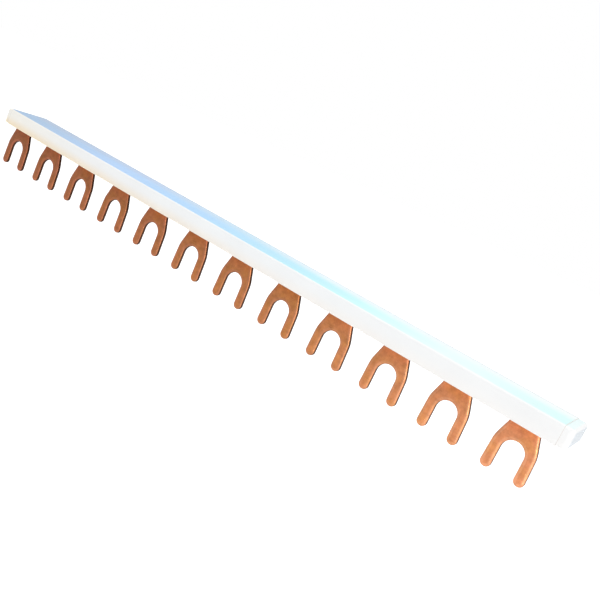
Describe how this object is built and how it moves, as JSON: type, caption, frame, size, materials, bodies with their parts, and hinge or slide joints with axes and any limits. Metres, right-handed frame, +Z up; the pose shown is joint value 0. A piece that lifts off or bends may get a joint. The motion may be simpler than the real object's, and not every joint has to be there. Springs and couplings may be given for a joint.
{
  "type": "comb busbar",
  "caption": "Straight one-pole comb busbar: a copper strip with bent-down fork tongues, in a flat insulating sleeve with end caps.",
  "frame": {"origin": "centre of the first fork's round slot end, at the middle of the blade's thickness", "axes": "+X along the bar from the first fork to the last, +Z up from the fork tips to the sleeve, -Y out of the blades' front faces"},
  "size_m": [0.2162, 0.0155, 0.0186],
  "materials": {
    "copper": "bare stamped copper, satin, brighter along its rolled edges",
    "sleeve_plastic": "extruded rigid vinyl, smooth, semi-gloss",
    "cap_plastic": "moulded plastic, fine satin"
  },
  "bodies": {
    "root": {"copper_comb": "copper", "insulating_sleeve": "sleeve_plastic", "left_end_cap": "cap_plastic", "right_end_cap": "cap_plastic"}
  },
  "joints": []
}
